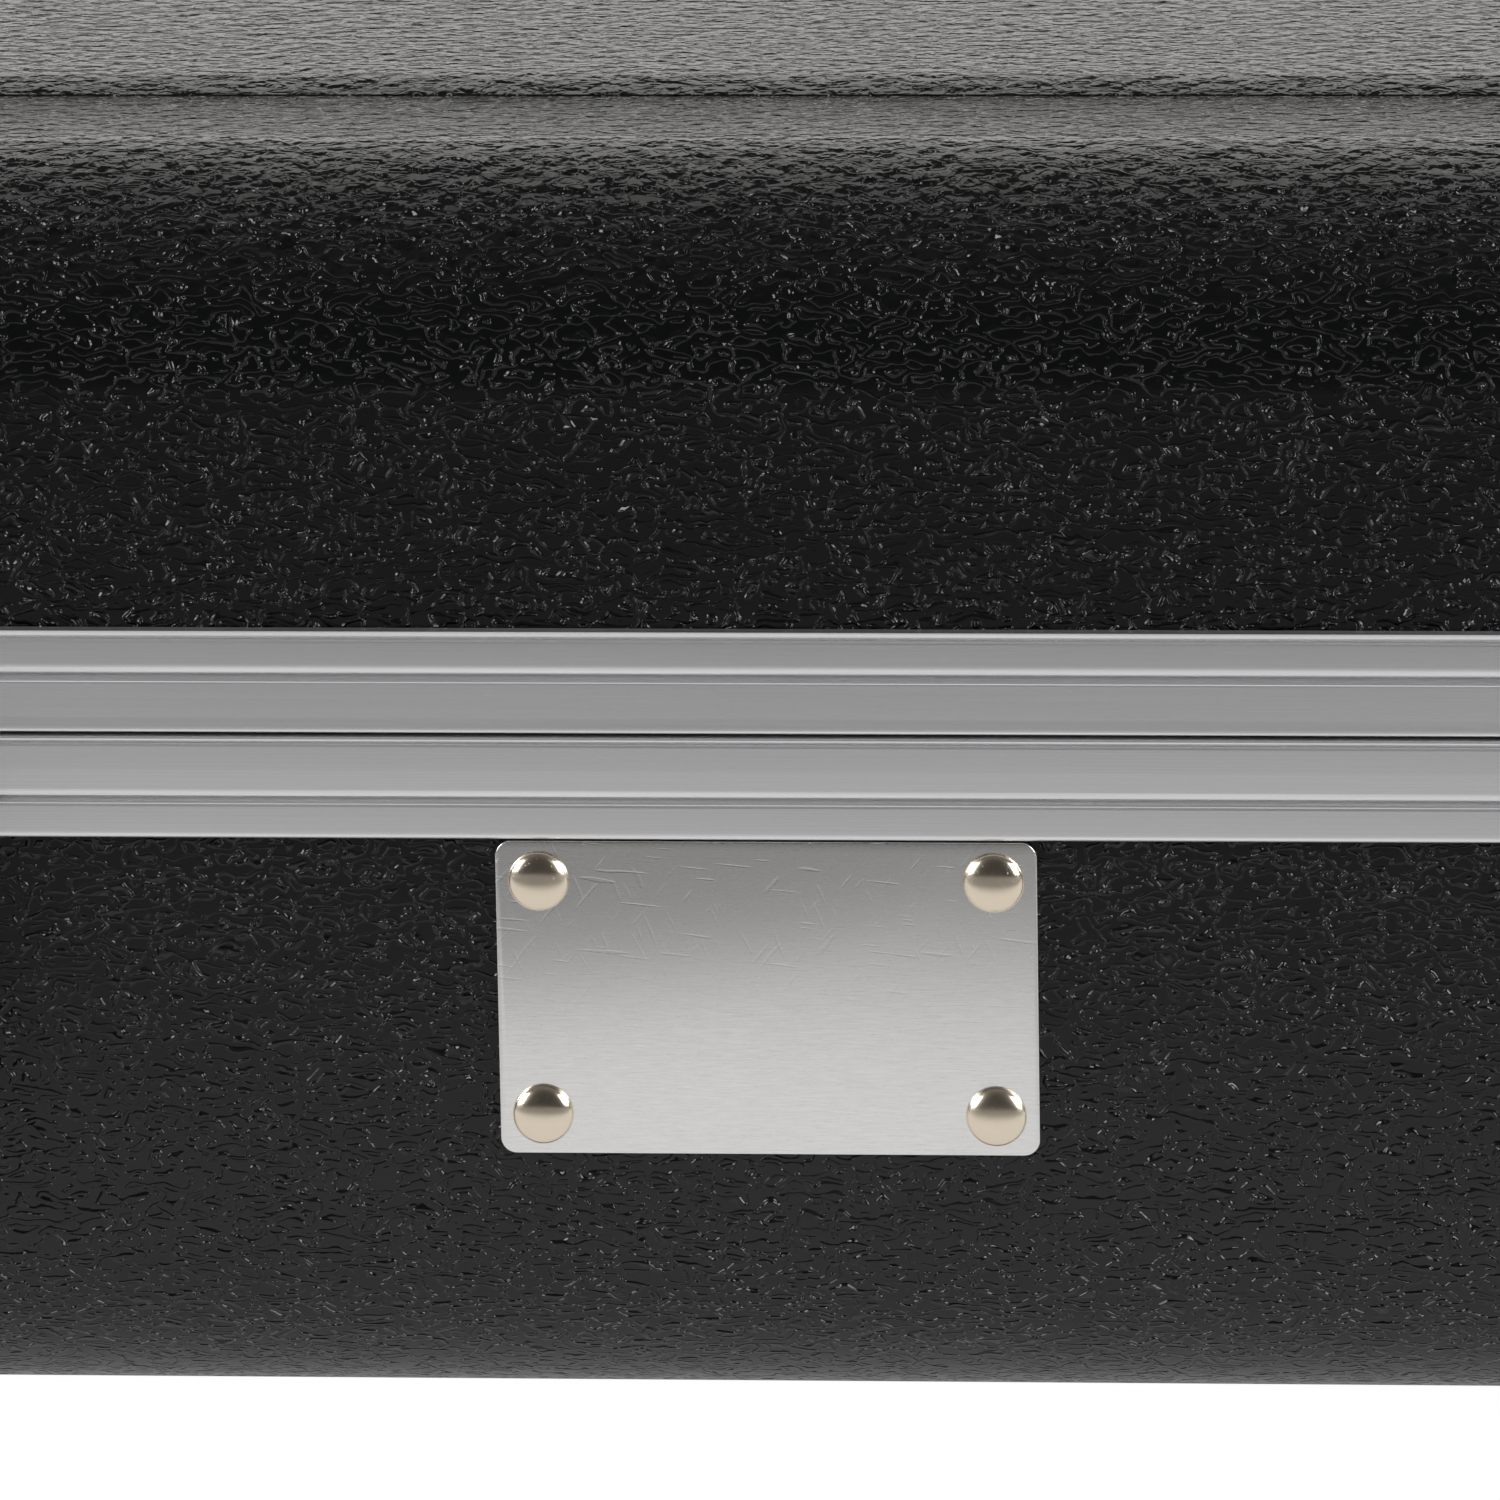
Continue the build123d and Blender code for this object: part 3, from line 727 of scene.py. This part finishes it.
@dataclass
class RimHalf:
    """One half of the aluminium rim: a drawn section with its bead, creases, groove and rounded edges.

    Sizes are in millimetres. Those that end in _in lead in from the visible face, and those that
    end in _reach or _depth lead away from the seam.
    """

    half: Half
    corner_r: float = 62.0
    corner_steps: int = 24
    seam_z: float = 83.0
    near: float = 0.2
    height: float = 11.6
    face_thick: float = 1.6
    web: float = 2.0
    leg_in: float = 4.3
    leg: float = 1.2
    leg_reach: float = 9.2
    groove_in: float = 7.2
    groove_width: float = 3.2
    groove_depth: float = 4.2
    groove_wall: float = 1.2
    tongue_in: float = 8.2
    tongue: float = 1.2
    tongue_reach: float = 3.4
    tongue_ease: float = 0.3

    def face(self) -> list[tuple[float, float]]:
        """The visible face of the section, from the seam to its far edge.

        Returns:
            The corners of its profile, each as a distance in from the face and away from the seam.
        """
        far = self.near + self.height
        if self.half is Half.LID:
            edge = [(0.9, self.near), (0.34, 0.21), (0.12, 0.3), (0.03, 0.46), (0, 0.66), (0, 0.9)]
            band = [(0.05, 1.85), (0.03, 2.0), (0.03, 5.7), (0.09, 5.86), (0, 6.0), (0.05, 6.12)]
            groove = [(0.3, 6.18), (0.95, 6.22), (1.1, 6.42), (1.0, 6.64), (0.42, 6.84), (0.3, 6.95)]
            groove += [(0.2, 7.15), (0.1, 7.4), (0.03, 7.65), (0, 8)]
            bead = [(0.02, 10.35), (0.12, 10.5), (0.5, 10.64), (0.55, 10.76), (0.4, 10.88), (0.27, 11.03)]
            bead += [(0.16, 11.18), (0.07, 11.36), (0.02, 11.54), (0, 11.66), (0.12, 11.76), (0.9, far)]
            return edge + band + groove + bead
        edge = [(0.9, self.near), (0.4, 0.22), (0.15, 0.32), (0.05, 0.44), (0.04, 0.54), (0.12, 0.7)]
        line = [(0.26, 0.84), (0.38, 0.94), (0.36, 1.04), (0.14, 1.12), (0.02, 1.24), (0, 1.4)]
        swell = [(0.08, 3.9), (0.12, 4.15), (0.24, 6.2), (0.29, 6.45), (0.37, 6.75), (0.47, 7.0)]
        groove = [(0.8, 7.08), (0.9, 7.3), (0.6, 7.46), (0.18, 7.56), (0.08, 7.66), (0.08, 7.84)]
        groove += [(0.16, 7.92), (0.05, 8.04)]
        foot = [(0, 8.2), (0.13, 10.9), (0.16, 11.2), (0.2, 11.48), (0.38, 11.68), (0.62, far)]
        return edge + line + swell + groove + foot

    def section(self) -> list[tuple[float, float]]:
        """The whole closed section, with the channel for the shell and the tongue or the groove.

        Returns:
            The corners, each as a distance in from the face and away from the seam.
        """
        back = [(self.face_thick, self.near + self.height), (self.face_thick, self.web)]
        back += [(self.leg_in, self.web)]
        leg_end = self.leg_in + self.leg
        back += [(self.leg_in, self.leg_reach), (leg_end, self.leg_reach), (leg_end, self.web)]
        if self.half is Half.LID:
            near, far = self.tongue_in, self.tongue_in + self.tongue
            tip, eased = -self.tongue_reach, self.tongue_ease - self.tongue_reach
            back += [(far, self.web), (far, eased), (far - self.tongue_ease, tip)]
            back += [(near + self.tongue_ease, tip), (near, eased), (near, self.near)]
            return [*self.face(), *back]
        near, far = self.groove_in, self.groove_in + self.groove_width
        skirt = self.groove_depth + self.groove_wall
        back += [(near - self.groove_wall, self.web), (near - self.groove_wall, skirt)]
        back += [(far + self.groove_wall, skirt), (far + self.groove_wall, self.near)]
        back += [(far, self.near), (far, self.groove_depth), (near, self.groove_depth), (near, self.near)]
        return [*self.face(), *back]

    def build(self) -> Piece:
        """Draws the section along each side and round each corner, and closes it on itself.

        Returns:
            The rim half.
        """
        body = self.half.name.lower()
        name = f"{body}_rim"
        _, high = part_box(name)
        reach = high / MM
        bm = bmesh.new()
        start = self.corner_r - reach.x
        ring = [
            bm.verts.new((start, inward - reach.y, self.seam_z + self.half.value * away))
            for inward, away in self.section()
        ]
        edges = [bm.edges.new(pair) for pair in zip(ring, ring[1:] + ring[:1])]
        for side in range(4):
            turn = Matrix.Rotation(side * math.pi / 2, 3, "Z")
            half_run = (reach.x if side % 2 == 0 else reach.y) - self.corner_r
            half_off = (reach.y if side % 2 == 0 else reach.x) - self.corner_r
            out = bmesh.ops.extrude_edge_only(bm, edges=edges)["geom"]
            verts = [g for g in out if isinstance(g, bmesh.types.BMVert)]
            bmesh.ops.translate(bm, vec=turn @ Vector((2 * half_run, 0, 0)), verts=verts)
            moved = set(verts)
            loop = [g for g in out if isinstance(g, bmesh.types.BMEdge) and moved.issuperset(g.verts)]
            spun = bmesh.ops.spin(
                bm, geom=verts + loop, cent=turn @ Vector((half_run, -half_off, 0)), axis=(0, 0, 1),
                dvec=(0, 0, 0), angle=math.pi / 2, steps=self.corner_steps, use_merge=False,
                use_duplicate=False,
            )["geom_last"]
            edges = [g for g in spun if isinstance(g, bmesh.types.BMEdge)]
        bmesh.ops.remove_doubles(bm, verts=bm.verts, dist=WELD)
        bmesh.ops.recalc_face_normals(bm, faces=bm.faces)
        finish = ExtrudedAluminium()
        rim = new_piece(f"{name}_extrusion", bm, body, finish, (name,), crease=48)
        shade_flats(rim)
        return rim


@dataclass
class NamePlate:
    """The bare plate under the rim, with its four domed rivets."""

    thick: float = 0.8
    corner_r: float = 1.8
    corner_steps: int = 10
    edge: float = 0.16
    rivet_dx: float = 50.6
    rivet_dz: float = 26.9
    rivet_r: float = 3.38
    rivet_rise: float = 1.48
    draft: float = 3.0
    crease: float = 60.0

    def place(self) -> Matrix:
        """The middle of the plate, from the CAD plate's box, with Z out of the drafted wall."""
        low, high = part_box("name_plate")
        lean = Matrix.Rotation(math.radians(90 + self.draft), 4, "X")
        return Matrix.Translation((low + high) / 2 / MM) @ lean

    def sheet(self) -> Piece:
        """The sheet with its rounded corners and the soft edge of its blanking.

        Returns:
            The sheet.
        """
        low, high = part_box("name_plate")
        lean = math.radians(self.draft)
        width = (high.x - low.x) / MM
        height = ((high.z - low.z) / MM - self.thick * math.sin(lean)) / math.cos(lean)
        bm = bmesh.new()
        face = rounded_sheet(bm, width, height, self.corner_r, -self.thick / 2, self.corner_steps)
        top = drawn_up(bm, face, self.thick)
        bmesh.ops.bevel(
            bm, geom=top.edges[:], offset=self.edge, offset_type="OFFSET", segments=3,
            profile=0.5, affect="EDGES", material=-1,
        )
        bmesh.ops.recalc_face_normals(bm, faces=bm.faces)
        bmesh.ops.transform(bm, matrix=self.place(), verts=bm.verts)
        finish = BrushedPlate()
        return new_piece("bare_plate", bm, "base", finish, ("name_plate",), self.crease)

    def rivets(self) -> Piece:
        """The four domed heads, drawn once and copied to their places.

        Returns:
            The heads as one piece.
        """
        bm = bmesh.new()
        head = draw_dome(bm, self.rivet_r, self.rivet_rise)
        for across in (-0.5, 0.5):
            for up in (-0.5, 0.5):
                spot = Matrix.Translation((across * self.rivet_dx, up * self.rivet_dz, self.thick / 2))
                copied = bmesh.ops.duplicate(bm, geom=head)["geom"]
                verts = [part for part in copied if isinstance(part, bmesh.types.BMVert)]
                bmesh.ops.transform(bm, matrix=self.place() @ spot, verts=verts)
        bmesh.ops.delete(bm, geom=head, context="VERTS")
        stands_for = ("name_plate_rivets",)
        return new_piece("plate_rivets", bm, "base", RIVET_NICKEL, stands_for, self.crease)

    def build(self) -> list[Piece]:
        """Makes the sheet and its rivets."""
        return [self.sheet(), self.rivets()]


def draw_dome(bm: Shape, radius: float, rise: float) -> list:
    """Draws one rivet head at the origin: a rounded crown that steepens to a tucked-in brim.

    Args:
        bm: The mesh it's drawn in, which is empty.
        radius: The head's radius.
        rise: The head's height.

    Returns:
        The head's vertices, edges and faces.
    """
    brim, steepening, steps = 0.16, 1.15, 10
    angles = [math.radians(90 * i / steps) for i in range(steps)]
    points = [
        (radius * math.sin(a), rise * (brim + (1 - brim) * math.cos(a) ** steepening)) for a in angles
    ]
    points += [(radius, 0.14 * rise), (radius * 0.985, 0.04 * rise), (radius * 0.95, 0)]
    verts = [bm.verts.new((r, 0, z)) for r, z in points]
    edges = [bm.edges.new(pair) for pair in zip(verts, verts[1:])]
    bmesh.ops.spin(
        bm, geom=verts + edges, cent=(0, 0, 0), axis=(0, 0, 1), dvec=(0, 0, 0),
        angle=2 * math.pi, steps=40, use_merge=True, use_duplicate=False,
    )
    bmesh.ops.remove_doubles(bm, verts=bm.verts, dist=WELD)
    bmesh.ops.recalc_face_normals(bm, faces=bm.faces)
    return bm.verts[:] + bm.edges[:] + bm.faces[:]


@dataclass
class Hardware:
    """Hinges, latches, handle, feet and small rivets, which follow the CAD model's own nodes.

    The nodes whose names end as in as_modelled are dressed as they are. Those whose names start as
    in stamped are shown as a copy with its hard edges eased by that many millimetres.
    """

    as_modelled: tuple[tuple[str, Finish], ...] = (
        ("hinge_pins", PIN_STEEL),
        ("handle_pins", PIN_STEEL),
        ("handle_grip", HANDLE_PLASTIC),
        ("lock_plug", LOCK_BRASS),
        ("_feet", FOOT_RUBBER),
        ("_rivets", STAMPED_NICKEL),
        ("_bail", WIRE_NICKEL),
    )
    stamped: tuple[tuple[str, float], ...] = (("hinge_", 0.2), ("latch_", 0.2), ("handle_bracket", 0.25))
    shown_elsewhere: str = "name_plate_rivets"
    flat_angle: float = 0.6
    hard_angle: float = 38.0
    crease: float = 30.0

    def build(self, nodes: dict[str, Piece]) -> list[Piece]:
        """Dresses the round parts as they are and eases the edges of the stamped ones.

        Args:
            nodes: The CAD nodes by name.

        Returns:
            The pieces that are shown.
        """
        made = []
        for name, node in nodes.items():
            finishes = [finish for end, finish in self.as_modelled if name.endswith(end)]
            edges = [edge for start, edge in self.stamped if name.startswith(start)]
            if name == self.shown_elsewhere:
                continue
            if finishes:
                dress_piece(node, finishes[0])
                made.append(node)
            elif edges:
                made.append(self.eased_copy(name, node, edges[0]))
        return made

    def eased_copy(self, name: str, node: Piece, edge: float) -> Piece:
        """Copies a stamped piece, with its flat faces made whole and its hard edges eased.

        Args:
            name: The CAD node's name.
            node: The CAD node.
            edge: The width of the easing, in millimetres.

        Returns:
            The piece, which stands for the node.
        """
        bm = bmesh.new()
        bm.from_mesh(node.data)
        bmesh.ops.remove_doubles(bm, verts=bm.verts, dist=CAD_WELD)
        flat = math.radians(self.flat_angle)
        bmesh.ops.dissolve_limit(bm, angle_limit=flat, verts=bm.verts, edges=bm.edges)
        bmesh.ops.scale(bm, vec=(1 / MM, 1 / MM, 1 / MM), verts=bm.verts)
        title, body = f"{name}_eased", node["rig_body"]
        piece = new_piece(title, bm, body, STAMPED_NICKEL, (name,), self.crease)
        ease = piece.modifiers.new("eased_edges", "BEVEL")
        ease.width = edge * MM
        ease.segments = 2
        ease.limit_method = "ANGLE"
        ease.angle_limit = math.radians(self.hard_angle)
        ease.use_clamp_overlap = False
        ease.harden_normals = True
        return piece


@dataclass
class Lining:
    """The plush-covered foam in the base and the lid."""

    nodes: tuple[str, ...] = (
        "floor_pad", "tail_cushion", "front_waist_cushion", "rear_waist_cushion", "rear_neck_cushion",
        "head_cushion", "accessory_box", "neck_cradle", "lid_pad",
    )
    voxel: float = 5.0
    rounds: int = 4
    pull: float = 0.5

    def build(self, nodes: dict[str, Piece]) -> list[Piece]:
        """Softens each foam block inside its own space and covers it in plush.

        Args:
            nodes: The CAD nodes by name.

        Returns:
            The blocks.
        """
        made = []
        for name in self.nodes:
            pad = self.soften(name, nodes[name])
            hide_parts(name)
            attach(pad, nodes[name]["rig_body"])
            made.append(pad)
        return made

    def soften(self, name: str, node: Piece) -> Piece:
        """One block of foam, remeshed evenly and smoothed so that its edges go round.

        Args:
            name: The CAD node's name.
            node: The CAD node.

        Returns:
            The block as its own object.
        """
        block = node.copy()
        block.data = node.data.copy()
        block.name = f"{name}_plush"
        block.parent = None
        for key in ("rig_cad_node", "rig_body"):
            if key in block:
                del block[key]
        bpy.context.scene.collection.objects.link(block)
        bm = bmesh.new()
        bm.from_mesh(block.data)
        bmesh.ops.remove_doubles(bm, verts=bm.verts, dist=CAD_WELD)
        bm.to_mesh(block.data)
        bm.free()
        remesh = block.modifiers.new("even", "REMESH")
        remesh.mode = "VOXEL"
        remesh.voxel_size = self.voxel * MM
        bpy.context.view_layer.update()
        remeshed = block.evaluated_get(bpy.context.evaluated_depsgraph_get())
        even = bpy.data.meshes.new_from_object(remeshed)
        block.modifiers.clear()
        block.data = even
        bm = bmesh.new()
        bm.from_mesh(even)
        for _ in range(self.rounds):
            bmesh.ops.smooth_vert(
                bm, verts=bm.verts, factor=self.pull, use_axis_x=True, use_axis_y=True, use_axis_z=True
            )
        bm.to_mesh(even)
        bm.free()
        even.shade_smooth()
        dress_piece(block, Plush())
        return block


@dataclass(frozen=True)
class Softbox:
    """A square softbox that stands in front of the case, at one side."""

    name: str
    place: Triple
    aim: Triple
    side: float = 1.0
    radiance: float = 9.0

    def switch_on(self) -> None:
        """Adds the lamp, with the power that gives its face this radiance, where 1 is white."""
        data = bpy.data.lights.new(self.name, "AREA")
        data.shape = "RECTANGLE"
        data.size = self.side
        data.size_y = self.side
        data.energy = self.radiance * math.pi * self.side**2
        lamp = bpy.data.objects.new(self.name, data)
        ray = Vector(self.aim) - Vector(self.place)
        facing = ray.to_track_quat("-Z", "Y").to_matrix().to_4x4()
        lamp.matrix_world = Matrix.Translation(self.place) @ facing
        bpy.context.scene.collection.objects.link(lamp)


@dataclass
class Studio:
    """The floor, the soft lights, the white surroundings and the camera of the photograph."""

    azimuth: float = 4.688
    elevation: float = 11.545
    roll: float = -0.720
    distance: float = 1.5255
    target: Triple = (0.27351, -0.190, 0.08148)
    view_width: float = 0.1657
    sensor: float = 36.0
    clip_end: float = 200.0
    softboxes: tuple[Softbox, ...] = (
        Softbox("left_side", (-1.5, -1.1, 0.85), (0.15, -0.1, 0.1)),
        Softbox("right_side", (1.9, -1.1, 0.85), (0.3, -0.1, 0.1)),
    )
    dark_way: float = -0.9
    dim_way: float = -0.3
    pale_from: float = 0.3
    room_dark: float = 0.05
    room_dim: float = 0.15
    room_pale: float = 0.9
    floor_size: float = 60.0
    floor_z: float = -0.0004
    white_from: float = -0.4
    white_to: float = -0.26
    # Painted shade: the paper's tone in front of the case, which every ray but the camera's sees.
    front_painted_shade: float = 0.34
    paper_pale: float = 0.88
    paper_glow: float = 1.08
    seen_share: float = 0.92
    # Painted light: the share of glow that reflections see on the floor near the case.
    painted_glow_share: float = 0.4

    def camera(self) -> None:
        """Sets the camera at the photograph's viewing angle."""
        a, e, r = (math.radians(v) for v in (self.azimuth, self.elevation, self.roll))
        forward = Vector((-math.sin(a) * math.cos(e), math.cos(a) * math.cos(e), -math.sin(e)))
        right = forward.cross(Vector((0, 0, 1))).normalized()
        up = right.cross(forward)
        rolled = right * math.cos(r) + up * math.sin(r)
        upright = up * math.cos(r) - right * math.sin(r)
        data = bpy.data.cameras.new("camera")
        data.sensor_width = self.sensor
        data.lens = self.sensor * self.distance / self.view_width
        data.clip_end = self.clip_end
        camera = bpy.data.objects.new("camera", data)
        place = Vector(self.target) - forward * self.distance
        facing = Matrix((rolled, upright, -forward)).transposed().to_4x4()
        camera.matrix_world = Matrix.Translation(place) @ facing
        bpy.context.scene.collection.objects.link(camera)
        bpy.context.scene.camera = camera

    def surroundings(self) -> None:
        """Sets the world: white to the eye, pale behind the case and dim in front of it."""
        world = bpy.data.worlds.new("studio")
        bpy.context.scene.world = world
        world.use_nodes = True
        tree = world.node_tree
        tree.nodes.clear()
        way = add_node(tree, "TexCoord").outputs["Generated"]
        back_way = add_node(tree, "SeparateXYZ", {"Vector": way}).outputs["Y"]
        front = {"Value": back_way, "From Min": self.dark_way, "From Max": self.dim_way}
        front |= {"To Min": self.room_dark, "To Max": self.room_dim}
        front = add_node(tree, "MapRange", front, interpolation_type="SMOOTHSTEP").outputs[0]
        back = {"Value": back_way, "From Min": self.pale_from, "From Max": 1.0, "To Max": self.room_pale}
        back = add_node(tree, "MapRange", back, interpolation_type="SMOOTHSTEP").outputs[0]
        glow = add_node(tree, "Math", {0: front, 1: back}, operation="ADD").outputs[0]
        room = add_node(tree, "Background", {"Color": linear("#FFFDFA"), "Strength": glow})
        white = add_node(tree, "Background", {"Color": (1, 1, 1, 1), "Strength": 1.0})
        eye = add_node(tree, "LightPath").outputs["Is Camera Ray"]
        mixed = add_node(tree, "MixShader", {0: eye, 1: room.outputs[0], 2: white.outputs[0]})
        add_node(tree, "OutputWorld", {"Surface": mixed.outputs[0]})

    def floor(self) -> None:
        bm = bmesh.new()
        bmesh.ops.create_grid(bm, x_segments=1, y_segments=1, size=self.floor_size / 2)
        mesh = bpy.data.meshes.new("floor")
        bm.to_mesh(mesh)
        bm.free()
        mesh.materials.append(self.paper())
        floor = bpy.data.objects.new("floor", mesh)
        floor.location.z = self.floor_z
        bpy.context.scene.collection.objects.link(floor)

    def paper(self) -> bpy.types.Material:
        """White paper: pale under and near the case, and darker in front as painted shade, where only metal
        sees it.

        Returns:
            The material, which is burnt out to white for the camera and less so in reflections, where its
            glow near the case is painted light.
        """
        made = bpy.data.materials.new("white_paper_floor")
        made.use_nodes = True
        tree = made.node_tree
        tree.nodes.clear()
        coords = add_node(tree, "TexCoord").outputs["Object"]
        paths = add_node(tree, "LightPath").outputs
        camera, mirror = paths["Is Camera Ray"], paths["Is Glossy Ray"]
        near = {"Value": add_node(tree, "SeparateXYZ", {"Vector": coords}).outputs["Y"]}
        near |= {"From Min": self.white_from, "From Max": self.white_to}
        near = add_node(tree, "MapRange", near, interpolation_type="SMOOTHSTEP").outputs[0]
        pale = add_node(tree, "Math", {0: near, 1: camera}, operation="MAXIMUM").outputs[0]
        # Painted shade: away from the case the paper goes dark for every ray but the camera's.
        tone = {"Value": pale, "To Min": self.front_painted_shade, "To Max": self.paper_pale}
        paper = add_node(tree, "BsdfDiffuse", {"Color": add_node(tree, "MapRange", tone).outputs[0]})
        glow = add_node(tree, "Emission", {"Color": (1, 1, 1, 1), "Strength": self.paper_glow})
        # Painted light: near the case, reflections see the floor partly glowing.
        part = {0: near, 1: self.painted_glow_share}
        painted_glow = add_node(tree, "Math", part, operation="MULTIPLY").outputs[0]
        painted_glow = add_node(tree, "Math", {0: mirror, 1: painted_glow}, operation="MULTIPLY").outputs[0]
        seen = add_node(tree, "Math", {0: camera, 1: self.seen_share}, operation="MULTIPLY").outputs[0]
        share = add_node(tree, "Math", {0: seen, 1: painted_glow}, operation="MAXIMUM").outputs[0]
        mixed = add_node(tree, "MixShader", {0: share, 1: paper.outputs[0], 2: glow.outputs[0]})
        add_node(tree, "OutputMaterial", {"Surface": mixed.outputs[0]})
        return made

    def build(self) -> None:
        """Sets up everything that isn't part of the case."""
        bpy.context.scene.view_settings.view_transform = "Standard"
        self.camera()
        for softbox in self.softboxes:
            softbox.switch_on()
        self.surroundings()
        self.floor()


def main() -> None:
    """Builds the studio, then each sub-assembly of the case, and reports what it made."""
    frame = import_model()
    nodes = frame["nodes"]
    Studio().build()
    for half in Half:
        log.info("shell: %s", Shell(half).build().name)
        log.info("rim: %s", RimHalf(half).build().name)
    log.info("plate: %s", [piece.name for piece in NamePlate().build()])
    log.info("hardware: %d pieces", len(Hardware().build(nodes)))
    log.info("lining: %d pieces", len(Lining().build(nodes)))


if __name__ == "__main__":
    logging.basicConfig(level=logging.INFO, format="%(message)s")
    main()
